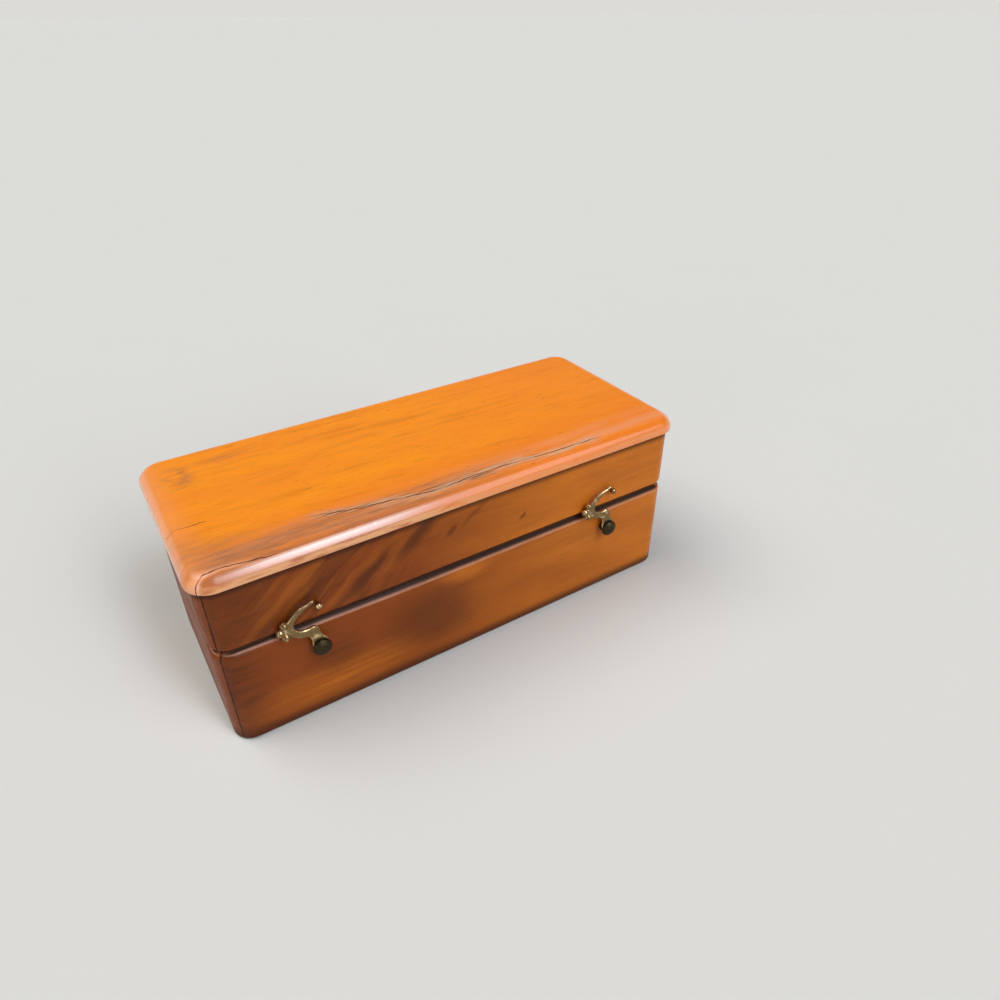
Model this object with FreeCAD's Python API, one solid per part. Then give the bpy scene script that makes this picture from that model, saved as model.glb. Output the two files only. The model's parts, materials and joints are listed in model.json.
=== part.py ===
"""A small polished wooden instrument case with a hinged lid and two brass hook latches.

Millimetres. X runs along the case, the front faces -Y, Z is up. The origin is the centre of the underside.
"""
import FreeCAD
import Part
import math
import os

Vector = FreeCAD.Vector

# The case as a whole
case_length = 215.0
case_depth = 89.0
wall = 7.5
corner_radius = 8.0
base_height = 46.4
seam_gap = 0.7
lid_side_height = 29.1
seam_arris = 1.9
mitre_gap = 0.12

# The bottom board, let into the base boards, and the lower arris of the base
bottom_thickness = 6.0
bottom_rebate = 3.5
foot_arris = 1.2

# The lid's top board
top_thickness = 6.6
top_overhang = 1.8
top_edge_radius = 5.5
top_lower_arris = 0.7

# The instrument that lies in the case, foot to the left
foot_disc_radius = 34.0
drum_radius = 21.9
tube_radius = 17.5
disc_lift = 0.6
rest_clearance = 1.0

# The seats for it in the base, measured along the case from the inside of the left end
cradle_thickness = 9.0
cradle_drop = 1.0
cradle_mouth_radius = 2.5
drum_seat_from_end = 27.0
tube_seat_from_end = 114.0

# The blocks that hold it down, under the lid's top board
block_rise = 4.0
block_side_margin = 5.0
block_corner_radius = 3.0

# The bay for slides at the right end
slide_bay_width = 21.0
divider_thickness = 5.0
divider_drop = 4.0
finger_notch_radius = 11.0
rack_thickness = 4.0
rack_height = 33.0
groove_width = 1.6
groove_depth = 1.9
groove_pitch = 5.0
groove_margin = 4.0
groove_floor = 3.0

# The butt hinges
hinge_length = 30.0
hinge_from_end = 45.0
leaf_thickness = 1.2
leaf_margin = 1.0
knuckle_radius = 2.3
knuckle_count = 5
knuckle_gap = 0.3
knuckle_stand_off = 0.3
hinge_pin_radius = 1.1
running_clearance = 0.05

# Between a fixed piece and its place in another
fitting_clearance = 0.04

# The hook latches
hook_from_end = 37.6
pivot_below_rim = 9.7
hook_reach = 22.4
hook_thickness = 1.6
hook_bevel = 0.35
hook_rest_turn = 4.6
eye_radius = 3.3
bead_radius = 1.6
bead_web_radius = 1.9
washer_radius = 3.0
washer_thickness = 1.5
pivot_radius = 1.5
pivot_bite = 5.5
knob_radius = 3.8
knob_rim = 0.7
knob_height = 2.7
cap_steps = 2
catch_head_radius = 1.35
catch_shank_radius = 0.65
catch_bite = 5.0

# The hook's outline in shares of its reach, seen from the front as it lies closed, from its eye at (0, 0).
# Each row is a point that the arc passes, the point where it ends, and whether its front edge is bevelled.
hook_start_share = (0.083, 0.998)
hook_outline_shares = (
    ((-0.180, 0.952), (-0.436, 0.760), True),
    ((-0.490, 0.600), (-0.402, 0.440), True),
    ((-0.290, 0.344), (-0.158, 0.322), True),
    ((-0.124, 0.210), (-0.140, 0.062), False),
    ((0.000, -0.147), (0.140, 0.070), False),
    ((0.052, 0.250), (-0.006, 0.487), False),
    ((-0.140, 0.478), (-0.254, 0.510), False),
    ((-0.338, 0.584), (-0.320, 0.698), True),
    ((-0.160, 0.858), (0.058, 0.955), True),
    ((0.086, 0.974), (0.083, 0.998), False),
)
bead_rows = (
    ((-0.480, 0.745), bead_radius),
    ((-0.567, 0.629), bead_radius),
    ((-0.502, 0.500), bead_radius),
    ((-0.505, 0.626), bead_web_radius),
)
catch_share = (0.076, 0.857)

# Beyond the faces of what is cut, and the distance under which two places are the same
overrun = 1.0
same_place = 0.001

inner_length = case_length - 2 * wall
inner_depth = case_depth - 2 * wall
front = -case_depth / 2
back = case_depth / 2
inner_left = -inner_length / 2
inner_right = inner_length / 2
inner_front = -inner_depth / 2
inner_back = inner_depth / 2
lid_rim = base_height + seam_gap
lid_side_top = lid_rim + lid_side_height
lid_top = lid_side_top + top_thickness
seat_axis = bottom_thickness + disc_lift + foot_disc_radius


def block(x0, y0, z0, x1, y1, z1):
    """A square block between two of its corners."""
    return Part.makeBox(x1 - x0, y1 - y0, z1 - z0, Vector(x0, y0, z0))


def rod(radius, start, direction, length):
    """A round rod."""
    return Part.makeCylinder(radius, length, start, direction)


def prism(points, z0, z1):
    """A straight-sided plan, drawn up from one height to another."""
    corners = [Vector(x, y, z0) for x, y in points]
    face = Part.Face(Part.makePolygon(corners + corners[:1]))
    return face.extrude(Vector(0, 0, z1 - z0))


def edges_at(shape, level):
    """The edges that lie wholly at one height."""
    flat = []
    for edge in shape.Edges:
        bounds = edge.BoundBox
        if abs(bounds.ZMin - level) < same_place and abs(bounds.ZMax - level) < same_place:
            flat.append(edge)
    return flat


def upright_edges(shape):
    """The straight edges that stand upright."""
    standing = []
    for edge in shape.Edges:
        bounds = edge.BoundBox
        if bounds.XLength < same_place and bounds.YLength < same_place:
            standing.append(edge)
    return standing


def rounded_plate(length, depth, radius, z0, z1):
    """A plate centred on the case, with round upright corners."""
    plate = block(-length / 2, -depth / 2, z0, length / 2, depth / 2, z1)
    return plate.makeFillet(radius, upright_edges(plate))


def turned(points):
    """A solid turned about Z from the corners of half of its section, in the XZ plane."""
    corners = [Vector(u, 0, v) for u, v in points]
    face = Part.Face(Part.makePolygon(corners + corners[:1]))
    return face.revolve(Vector(0, 0, 0), Vector(0, 0, 1), 360)


def arc(start, through, end):
    """A round edge of a section, through a point."""
    points = [Vector(u, 0, v) for u, v in (start, through, end)]
    return Part.Arc(*points).toShape()


def cap_section(radius, rise, level):
    """Half of a domed cap's section, from its brim to its top, in straight steps."""
    crown_radius = (radius ** 2 + rise ** 2) / (2 * rise)
    reach = math.asin(radius / crown_radius)
    points = []
    for step in range(cap_steps + 1):
        angle = reach * (1 - step / cap_steps)
        points.append((crown_radius * math.sin(angle), level - crown_radius * (1 - math.cos(angle))))
    return points


def frame_boards(frame, z0, z1):
    """Cuts a four-sided frame along its mitres into front, back, left and right boards."""
    out_x = case_length / 2 + overrun
    out_y = case_depth / 2 + overrun
    in_x = case_length / 2 - wall - overrun
    in_y = case_depth / 2 - wall - overrun
    half_front = [(mitre_gap - out_x, -out_y), (out_x - mitre_gap, -out_y),
                  (in_x - mitre_gap, -in_y), (mitre_gap - in_x, -in_y)]
    half_left = [(-out_x, -out_y), (-in_x, -in_y), (-in_x, in_y), (-out_x, out_y)]
    low, high = z0 - overrun, z1 + overrun
    plans = {
        "front": half_front,
        "back": [(x, -y) for x, y in half_front],
        "left": half_left,
        "right": [(-x, y) for x, y in half_left],
    }
    return {side: frame.common(prism(plan, low, high)) for side, plan in plans.items()}


def base_frame_boards():
    """The base tray's four boards, with the rebate for the bottom board and eased arrises."""
    body = rounded_plate(case_length, case_depth, corner_radius, 0, base_height)
    body = body.makeChamfer(seam_arris, edges_at(body, base_height))
    body = body.makeChamfer(foot_arris, edges_at(body, 0))
    hollow = block(inner_left, inner_front, -overrun, inner_right, inner_back, base_height + overrun)
    rebate = block(
        inner_left - bottom_rebate, inner_front - bottom_rebate, -overrun,
        inner_right + bottom_rebate, inner_back + bottom_rebate, bottom_thickness)
    return frame_boards(body.cut([hollow, rebate]), 0, base_height)


def bottom_board():
    """The bottom board, flush with the base boards underneath."""
    return block(
        inner_left - bottom_rebate, inner_front - bottom_rebate, 0,
        inner_right + bottom_rebate, inner_back + bottom_rebate, bottom_thickness)


def lid_frame_boards():
    """The lid's four side boards."""
    body = rounded_plate(case_length, case_depth, corner_radius, lid_rim, lid_side_top)
    body = body.makeChamfer(seam_arris, edges_at(body, lid_rim))
    hollow = block(
        inner_left, inner_front, lid_rim - overrun, inner_right, inner_back, lid_side_top + overrun)
    return frame_boards(body.cut(hollow), lid_rim, lid_side_top)


def lid_top_board():
    """The top board, wider than the sides, with a full round upper edge."""
    radius = corner_radius + top_overhang
    board = rounded_plate(
        case_length + 2 * top_overhang, case_depth + 2 * top_overhang, radius, lid_side_top, lid_top)
    board = board.makeFillet(top_edge_radius, edges_at(board, lid_top))
    return board.makeChamfer(top_lower_arris, edges_at(board, lid_side_top))


def seat_cutter(radius, x0, x1):
    """The space of a round body lying along the case, open upwards."""
    lying = rod(radius, Vector(x0, 0, seat_axis), Vector(1, 0, 0), x1 - x0)
    return lying.fuse(block(x0, -radius, seat_axis, x1, radius, seat_axis + radius + overrun))


def cradle(from_end, held_radius):
    """A board across the base with a round seat, its mouth eased."""
    x0 = inner_left + from_end
    x1 = x0 + cradle_thickness
    top = base_height - cradle_drop
    radius = held_radius + rest_clearance
    board = block(x0, inner_front, bottom_thickness, x1, inner_back, top)
    board = board.cut(seat_cutter(radius, x0 - overrun, x1 + overrun)).removeSplitter()
    mouth = []
    for edge in edges_at(board, top):
        bounds = edge.BoundBox
        if bounds.YLength < same_place and abs(bounds.YMin) < inner_back - same_place:
            mouth.append(edge)
    return board.makeFillet(cradle_mouth_radius, mouth)


def hold_down_block(from_end, held_radius):
    """A block under the top board, arched over the round body that lies in the cradle below."""
    x0 = inner_left + from_end
    x1 = x0 + cradle_thickness
    radius = held_radius + rest_clearance
    half = radius + block_side_margin
    low = lid_rim + block_rise
    body = block(x0, -half, low, x1, half, lid_side_top)
    lower = []
    for edge in edges_at(body, low):
        if edge.BoundBox.YLength < same_place:
            lower.append(edge)
    body = body.makeFillet(block_corner_radius, lower)
    arch = rod(radius, Vector(x0 - overrun, 0, seat_axis), Vector(1, 0, 0), x1 - x0 + 2 * overrun)
    return body.cut(arch)


def bay_divider():
    """The upright board in front of the slide bay, with a finger notch in its top."""
    x1 = inner_right - slide_bay_width
    x0 = x1 - divider_thickness
    top = base_height - divider_drop
    board = block(x0, inner_front, bottom_thickness, x1, inner_back, top)
    notch = rod(
        finger_notch_radius, Vector(x0 - overrun, 0, top), Vector(1, 0, 0), divider_thickness + 2 * overrun)
    return board.cut(notch)


def slide_rack(x0, grooved_face, facing):
    """A strip with upright grooves; facing is 1 where the grooves face right."""
    strip = block(x0, inner_front, bottom_thickness, x0 + rack_thickness, inner_back,
                  bottom_thickness + rack_height)
    room = inner_depth - 2 * groove_margin
    count = int(room / groove_pitch) + 1
    first = -(count - 1) * groove_pitch / 2
    cutters = []
    for index in range(count):
        y0 = first + index * groove_pitch - groove_width / 2
        near = grooved_face - facing * groove_depth
        far = grooved_face + facing * overrun
        cutters.append(block(
            min(near, far), y0, bottom_thickness + groove_floor,
            max(near, far), y0 + groove_width, bottom_thickness + rack_height + overrun))
    return strip.cut(cutters)


def slide_racks():
    """Two strips that face each other across the bay."""
    left_x = inner_right - slide_bay_width
    right_x = inner_right - rack_thickness
    return slide_rack(left_x, left_x + rack_thickness, 1), slide_rack(right_x, right_x, -1)


def hinge_axis():
    """Where the pins run: behind the back, level with the seam."""
    return back + knuckle_stand_off + knuckle_radius, base_height + seam_gap / 2


def leaf_levels(on_lid):
    """The lower and upper faces of a leaf, let into its rim."""
    if on_lid:
        return lid_rim, lid_rim + leaf_thickness
    return base_height - leaf_thickness, base_height


def leaf_gain(middle, on_lid):
    """The shallow recess for a leaf, open at the back and at the seam."""
    low, high = leaf_levels(on_lid)
    reach = (0, overrun) if not on_lid else (-overrun, 0)
    return block(
        middle - hinge_length / 2, back - wall + leaf_margin, low + reach[0],
        middle + hinge_length / 2, back + overrun, high + reach[1])


def hinge_middles():
    """The middles of the two hinges along the case."""
    middle = case_length / 2 - hinge_from_end
    return -middle, middle


def hinge_leaf(middle, on_lid):
    """A leaf with its share of the knuckles, bored for the pin."""
    axis_y, axis_z = hinge_axis()
    low, high = leaf_levels(on_lid)
    start = middle - hinge_length / 2
    pitch = hinge_length / knuckle_count
    pieces = [block(start, back - wall + leaf_margin, low, start + hinge_length, back, high)]
    for index in range(1 if on_lid else 0, knuckle_count, 2):
        x0 = start + index * pitch + (knuckle_gap / 2 if index > 0 else 0)
        x1 = start + (index + 1) * pitch - (knuckle_gap / 2 if index < knuckle_count - 1 else 0)
        pieces.append(block(x0, back, low, x1, axis_y, high))
        pieces.append(rod(knuckle_radius, Vector(x0, axis_y, axis_z), Vector(1, 0, 0), x1 - x0))
    leaf = pieces[0].fuse(pieces[1:]).removeSplitter()
    bore = rod(
        hinge_pin_radius + running_clearance, Vector(start - overrun, axis_y, axis_z), Vector(1, 0, 0),
        hinge_length + 2 * overrun)
    return leaf.cut(bore)


def hinge_pin(middle):
    """A pin through all the knuckles, flush with the outer two."""
    axis_y, axis_z = hinge_axis()
    start = middle - hinge_length / 2
    return rod(hinge_pin_radius, Vector(start, axis_y, axis_z), Vector(1, 0, 0), hinge_length)


def pivot_places():
    """The hooks' pivots on the front of the base: x and z."""
    x = case_length / 2 - hook_from_end
    z = base_height - pivot_below_rim
    return (-x, z), (x, z)


def at_front(shape, x, z):
    """Turns a piece made along Z to stand out of the front at a place."""
    moved = shape.copy()
    moved.rotate(Vector(0, 0, 0), Vector(1, 0, 0), 90)
    moved.translate(Vector(x, front, z))
    return moved


def washer():
    """The washer that keeps the hook off the wood."""
    disc = rod(washer_radius, Vector(0, 0, 0), Vector(0, 0, 1), washer_thickness)
    hole = rod(
        pivot_radius + fitting_clearance, Vector(0, 0, -overrun), Vector(0, 0, 1),
        washer_thickness + 2 * overrun)
    return disc.cut(hole)


def blind_hole(radius, depth):
    """The hole in the wood for a pin's shank."""
    return rod(radius + fitting_clearance, Vector(0, 0, -depth), Vector(0, 0, 1), depth + overrun)


def pivot():
    """The pivot with its domed knob in front of the hook."""
    seat = washer_thickness + hook_thickness + 2 * running_clearance
    shank = rod(pivot_radius, Vector(0, 0, -pivot_bite), Vector(0, 0, 1), pivot_bite + seat + knob_rim)
    crown = cap_section(knob_radius, knob_height - knob_rim, seat + knob_height)
    knob = turned([(0, seat), (knob_radius, seat)] + crown)
    return shank.fuse(knob).removeSplitter()


def hook():
    """The hook plate seen from the front, closed, its eye at the origin and its back on the XZ plane."""
    def at(share):
        return share[0] * hook_reach, share[1] * hook_reach

    edges = []
    marks = []
    start = at(hook_start_share)
    for through, end, bevelled in hook_outline_shares:
        edges.append(arc(start, at(through), at(end)))
        start = at(end)
        if bevelled:
            u, v = at(through)
            marks.append(Part.Vertex(u, -hook_thickness, v))
    plate = Part.Face(Part.Wire(edges)).extrude(Vector(0, -hook_thickness, 0))
    brim = []
    for edge in plate.Edges:
        if min(edge.distToShape(mark)[0] for mark in marks) < same_place:
            brim.append(edge)
    plate = plate.makeChamfer(hook_bevel, brim)
    extras = [rod(eye_radius, Vector(0, 0, 0), Vector(0, -1, 0), hook_thickness)]
    for share, radius in bead_rows:
        u, v = at(share)
        extras.append(rod(radius, Vector(u, 0, v), Vector(0, -1, 0), hook_thickness))
    plate = plate.fuse(extras).removeSplitter()
    hole = rod(
        pivot_radius + running_clearance, Vector(0, overrun, 0), Vector(0, -1, 0),
        hook_thickness + 2 * overrun)
    return plate.cut(hole)


def placed_hook(x, z):
    """A hook on its pivot, turned just clear of its catch."""
    shape = hook()
    shape.rotate(Vector(0, 0, 0), Vector(0, -1, 0), hook_rest_turn)
    shape.translate(Vector(x, front - washer_thickness - running_clearance, z))
    return shape


def catch_place(x, z):
    """Where the catch pin stands above a pivot."""
    return x + catch_share[0] * hook_reach, z + catch_share[1] * hook_reach


def catch_pin():
    """A pin with an eight-sided round head; the hook passes over it."""
    out = washer_thickness + running_clearance + hook_thickness / 2
    flat = catch_head_radius * math.tan(math.pi / 8)
    head = turned([
        (0, out - catch_head_radius), (flat, out - catch_head_radius), (catch_head_radius, out - flat),
        (catch_head_radius, out + flat), (flat, out + catch_head_radius), (0, out + catch_head_radius)])
    shank = rod(catch_shank_radius, Vector(0, 0, -catch_bite), Vector(0, 0, 1), catch_bite + out)
    return shank.fuse(head).removeSplitter()


def hinged_back(board, on_lid):
    """A back board with the recesses for both leaves."""
    return board.cut([leaf_gain(middle, on_lid) for middle in hinge_middles()])


def save(name, shape):
    """Writes one sub-part and prints its volume."""
    shape.exportStep("parts/" + name + ".step")
    print(name, len(shape.Solids), round(shape.Volume, 1), shape.isValid())


def main():
    """Makes every sub-part of the case."""
    os.makedirs("parts", exist_ok=True)
    base = base_frame_boards()
    lid = lid_frame_boards()
    pivots = pivot_places()
    catches = [catch_place(x, z) for x, z in pivots]
    base["front"] = base["front"].cut(
        [at_front(blind_hole(pivot_radius, pivot_bite), x, z) for x, z in pivots])
    lid["front"] = lid["front"].cut(
        [at_front(blind_hole(catch_shank_radius, catch_bite), x, z) for x, z in catches])
    base["back"] = hinged_back(base["back"], False)
    lid["back"] = hinged_back(lid["back"], True)
    for side in ("front", "back", "left", "right"):
        save("base_" + side + "_board", base[side])
        save("lid_" + side + "_board", lid[side])
    save("bottom_board", bottom_board())
    save("lid_top_board", lid_top_board())

    save("drum_cradle", cradle(drum_seat_from_end, drum_radius))
    save("tube_cradle", cradle(tube_seat_from_end, tube_radius))
    save("drum_hold_down", hold_down_block(drum_seat_from_end, drum_radius))
    save("tube_hold_down", hold_down_block(tube_seat_from_end, tube_radius))
    save("bay_divider", bay_divider())
    rack_left, rack_right = slide_racks()
    save("slide_rack_left", rack_left)
    save("slide_rack_right", rack_right)

    for side, middle in zip(("left", "right"), hinge_middles()):
        save("hinge_base_leaf_" + side, hinge_leaf(middle, False))
        save("hinge_lid_leaf_" + side, hinge_leaf(middle, True))
        save("hinge_pin_" + side, hinge_pin(middle))

    for side, (x, z), (catch_x, catch_z) in zip(("left", "right"), pivots, catches):
        save("hook_" + side, placed_hook(x, z))
        save("hook_washer_" + side, at_front(washer(), x, z))
        save("hook_pivot_" + side, at_front(pivot(), x, z))
        save("catch_pin_" + side, at_front(catch_pin(), catch_x, catch_z))


main()
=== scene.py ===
"""The looks of a small polished mahogany instrument case with brass hook latches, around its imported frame."""
import json
import math

import bmesh
import bpy
from bpy.props import FloatProperty, FloatVectorProperty, PointerProperty
from mathutils import Matrix, Vector


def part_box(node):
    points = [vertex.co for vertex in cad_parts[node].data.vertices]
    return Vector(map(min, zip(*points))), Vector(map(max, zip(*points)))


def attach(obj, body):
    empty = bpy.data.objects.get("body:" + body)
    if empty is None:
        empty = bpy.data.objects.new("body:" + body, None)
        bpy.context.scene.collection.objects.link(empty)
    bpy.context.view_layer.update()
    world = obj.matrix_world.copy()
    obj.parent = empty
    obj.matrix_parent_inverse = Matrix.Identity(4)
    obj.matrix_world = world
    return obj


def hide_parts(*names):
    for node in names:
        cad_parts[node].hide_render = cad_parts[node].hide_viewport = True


bl_info = {
    "name": "Polished Instrument Case",
    "version": (1, 0, 0),
    "blender": (4, 5, 0),
    "location": "View3D > Sidebar > Case",
    "description": "Finishes a mahogany case with French polish, aged brass latches and butt hinges",
    "category": "Object",
}

MM = 0.001

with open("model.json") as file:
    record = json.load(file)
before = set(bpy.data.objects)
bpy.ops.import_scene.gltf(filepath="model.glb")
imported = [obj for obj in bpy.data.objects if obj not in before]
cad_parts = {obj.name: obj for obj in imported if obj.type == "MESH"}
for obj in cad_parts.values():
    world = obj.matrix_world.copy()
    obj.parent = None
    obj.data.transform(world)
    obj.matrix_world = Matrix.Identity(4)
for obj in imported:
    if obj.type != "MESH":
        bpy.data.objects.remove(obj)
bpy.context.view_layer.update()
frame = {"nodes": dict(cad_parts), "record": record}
NODES = frame["nodes"]
JOINTS = {joint["name"]: joint for joint in frame["record"]["behaviour"]["joints"]}

PAIR = ("left", "right")
FITTINGS = ("drum_cradle", "tube_cradle", "drum_hold_down", "tube_hold_down", "bay_divider",
            "slide_rack_left", "slide_rack_right")
LEFT_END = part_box("base_left_board")[0].x / MM
RIGHT_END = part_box("base_right_board")[1].x / MM
FRONT_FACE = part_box("base_front_board")[0].y / MM
BACK_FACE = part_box("base_back_board")[1].y / MM
BASE_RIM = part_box("base_front_board")[1].z / MM
LID_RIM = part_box("lid_front_board")[0].z / MM
LID_SIDE_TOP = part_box("lid_front_board")[1].z / MM
TOP_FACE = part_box("lid_top_board")[1].z / MM

# In millimetres: the round of the upright corners, how far the polish reaches in under the top board, and
# how near two points are one
CORNER_RADIUS = 8.0
POLISHED_MARGIN = 4.0
SAME_POINT = 0.001

# The hook's outline in shares of its reach, seen from the front as it lies closed, from its eye; its reach
# and thickness in millimetres; and how far open it rests
HOOK_OUTLINE = (
    (0.083, 0.998), (-0.030, 0.982), (-0.180, 0.952), (-0.320, 0.868), (-0.436, 0.760), (-0.490, 0.600),
    (-0.402, 0.440), (-0.290, 0.354), (-0.175, 0.310), (-0.132, 0.210), (-0.140, 0.062), (0.000, -0.147),
    (0.140, 0.070), (0.064, 0.250), (0.000, 0.470), (-0.140, 0.478), (-0.254, 0.510), (-0.328, 0.584),
    (-0.320, 0.698), (-0.255, 0.790), (-0.160, 0.858), (-0.050, 0.915), (0.066, 0.960))
HOOK_BEADS = ((-0.480, 0.745), (-0.567, 0.629), (-0.502, 0.500))
HOOK_WEB = (-0.495, 0.626)
HOOK_REACH = 22.4
HOOK_THICKNESS = 1.6
HOOK_REST_TURN = math.radians(4.6)

# Half sections of the turned brass, (radius, height) from the front boards' face outwards
KNOB_SECTION = (
    (0, -5.5), (1, -5.5), (1.45, -5), (1.5, -1), (1.5, 2.9), (1.9, 3.2), (3.5, 3.2), (3.8, 3.35),
    (3.8, 3.9), (3.6, 4.3), (3.1, 4.75), (2.3, 5.25), (1.2, 5.6), (0, 5.7))
WASHER_SECTION = ((1.55, 0), (2.8, 0), (3, 0.2), (3, 1.3), (2.8, 1.5), (1.55, 1.5), (1.55, 0))
CATCH_SECTION = (
    (0, -5), (0.5, -4.9), (0.65, -4.4), (0.65, 0.6), (0.72, 1), (1.15, 1.35), (1.42, 1.95),
    (1.42, 2.7), (1.1, 3.35), (0.55, 3.68), (0, 3.75))

# The hinges, in millimetres: the screws' shift from the middle of a leaf, their line in Y, their heads, and
# how far edges are eased
SCREW_SHIFT = 9.5
SCREW_LINE = 41.25
SCREW_RADIUS = 1.75
SCREW_HEIGHT = 0.26
SLOT_WIDTH = 0.5
SLOT_DEPTH = 0.22
SCREW_EASING = 0.08
LEAF_EASING = 0.12
PIN_EASING = 0.2

# The camera, in metres and radians, and half the floor's width in metres
CAMERA_PLACE = (-0.11875, -0.2503, 0.2361)
CAMERA_HEADING = math.radians(-32.5)
CAMERA_TILT = math.radians(56.0)
CAMERA_ROLL = -0.0055
FLOOR_REACH = 60.0

# A MapRange node's inputs: 0 the value, 1 and 2 its start and end, 3 and 4 what comes out there, 0 and 1 if
# unset. This makes it ease softly from one to the other
SOFT = {"interpolation_type": "SMOOTHSTEP"}


def linear(hex_colour):
    """An sRGB hex colour as the linear red, green and blue that shaders take."""
    parts = [int(hex_colour[i:i + 2], 16) / 255 for i in (0, 2, 4)]
    return tuple(p / 12.92 if p <= 0.04045 else ((p + 0.055) / 1.055) ** 2.4 for p in parts)


def colour_property(name, description, hex_colour):
    """A colour that a user may change, with its default in sRGB hex."""
    return FloatVectorProperty(
        name=name, description=description, subtype="COLOR", size=3, min=0.0, max=1.0,
        default=linear(hex_colour))


def length_property(name, description, millimetres):
    """A length that a user may change, with its default in millimetres."""
    return FloatProperty(
        name=name, description=description, subtype="DISTANCE", unit="LENGTH", min=0.0,
        default=millimetres * MM)


class CaseTopSettings(bpy.types.PropertyGroup):
    """Form and colours of the lid's top board."""

    edge_radius: length_property("Edge radius", "Full round of the upper edge", 5.9)
    lower_edge: length_property("Lower edge", "Eased lower arris", 0.5)
    light: colour_property("Light wood", "Honey tone of the back and middle", "F69014")
    warm: colour_property("Warm wood", "Orange tone of the front and right", "EA7A1E")
    deep: colour_property("Deep streaks", "Red-brown tone of the fine streaks", "AC4C0A")
    worn: colour_property("Worn band", "Brown band where polish wore off along the split", "A26844")
    scuffed: colour_property("Scuffs", "Pale grey of frayed wood", "C8A484")
    haze: colour_property("Haze", "Cloudy pink of thin polish along the front", "E8A27C")
    round_edge: colour_property("Round edge", "Red-brown of the front's full round", "A8502A")
    edge: colour_property("End edge", "Paler tone of the rounded ends", "EE8E46")
    # Worn wood, which also paints a reflection of bright light low on the front's round
    bare: colour_property("Bare edge", "Pale wood where the edge is worn through its polish", "DA9C66")
    crack: colour_property("Splits", "Dark inside of the drying splits", "4A2412")


class CaseBoardSettings(bpy.types.PropertyGroup):
    """Form and colours of the side boards and of the inside."""

    seam_rounding: length_property("Seam rounding", "Tangent of the round on the seam's arrises", 1.3)
    foot_rounding: length_property("Foot rounding", "Tangent of the round on the lowest arris", 0.8)
    # Sun-bleached wood, which also paints the light that falls on one side of the case
    light: colour_property("Light wood", "Amber tone where the boards saw the sun", "BC6818")
    warm: colour_property("Warm wood", "Red-brown tone of the rest", "7C3A10")
    deep: colour_property("Deep streaks", "Dark figure in the boards", "46200A")
    amber: colour_property("Amber", "Brightest amber, where the figure opens to the light", "C06E1E")
    # Pale worn polish of the arris, which also paints the arris's highlight
    worn_and_highlit: colour_property("Rubbed arris", "Pale, dulled polish of the worn arris", "C48E76")
    # Wax and dirt, which also paints shade: in the seam, under the top board's overhang and in the mitres
    grime_and_shade: colour_property("Grime", "Wax and dirt settled in the joints", "24120B")
    inside_light: colour_property("Inside, light", "Unpolished mahogany of the fittings", "A0683C")
    inside_deep: colour_property("Inside, dark", "Pores and streaks of the fittings", "5E341C")


class CaseBrassSettings(bpy.types.PropertyGroup):
    """Form and colours of the brass."""

    hook_rounding: length_property("Hook rounding", "Filed round of the hook's edges", 0.8)
    bead_radius: length_property("Bead radius", "Balls of the hook's thumb piece", 1.6)
    bright: colour_property("Rubbed brass", "Where fingers keep the brass bright", "E6CBA0")
    aged: colour_property("Aged brass", "The dull skin of old brass", "86704A")
    tarnish: colour_property("Tarnish", "Brown-black in the hollows", "2E271E")


class CaseStageSettings(bpy.types.PropertyGroup):
    """Lamps, floor and camera."""

    window_strength: FloatProperty(
        name="Window", description="Strength of each quarter of the tall window", min=0.0, default=0.42)
    ceiling_strength: FloatProperty(
        name="Ceiling", description="Strength of the broad light from above", min=0.0, default=1.85)
    room_strength: FloatProperty(
        name="Room", description="Strength of the even light from high in the room", min=0.0, default=0.07)
    lens: FloatProperty(
        name="Lens", description="Focal length of the camera in millimetres", min=1.0, default=26.07)
    floor: colour_property("Floor", "Pale floor", "D4D2CE")


class CaseLooks(bpy.types.PropertyGroup):
    """All settings of the case."""

    top: PointerProperty(type=CaseTopSettings)
    boards: PointerProperty(type=CaseBoardSettings)
    brass: PointerProperty(type=CaseBrassSettings)
    stage: PointerProperty(type=CaseStageSettings)


def add(tree, kind, inputs=None, output=0, points=None, **settings):
    """Adds one shader node, sets or links its inputs by name or number, and gives back one output.

    A curve takes points of (x, y)."""
    node = tree.nodes.new("ShaderNode" + kind)
    for name, value in settings.items():
        setattr(node, name, value)
    for socket, value in (inputs or {}).items():
        if isinstance(value, bpy.types.NodeSocket):
            tree.links.new(value, node.inputs[socket])
        else:
            node.inputs[socket].default_value = value
    if points:
        curve = node.mapping.curves[0]
        while len(curve.points) < len(points):
            curve.points.new(1.0, 1.0)
        for point, place in zip(curve.points, points):
            point.location = place
        node.mapping.update()
    return node.outputs[output] if node.outputs else node


def new_material(name, **values):
    """A node material: its tree, and its surface shader with constant values set by socket name."""
    material = bpy.data.materials.new(name)
    material.use_nodes = True
    tree = material.node_tree
    tree.nodes.clear()
    surface = add(tree, "BsdfPrincipled")
    add(tree, "OutputMaterial", {"Surface": surface})
    for socket, value in values.items():
        surface.node.inputs[socket.replace("_", " ")].default_value = value
    return material, tree, surface.node


def streaks(tree, place, size, low, high, strength=1, detail=2, seed=0):
    """A mask of streaks that are so many millimetres long, wide and high, from none to the given strength."""
    shrink, shift = tuple(1 / s for s in size), (seed, seed * 0.7, seed * 1.3)
    moved = add(tree, "VectorMath", {0: place, 1: shrink, 2: shift}, operation="MULTIPLY_ADD")
    cloud = add(tree, "TexNoise", {"Vector": moved, "Scale": 1, "Detail": detail, "Roughness": 0.55})
    return add(tree, "MapRange", {0: cloud, 1: low, 2: high, 4: strength}, **SOFT)


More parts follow.
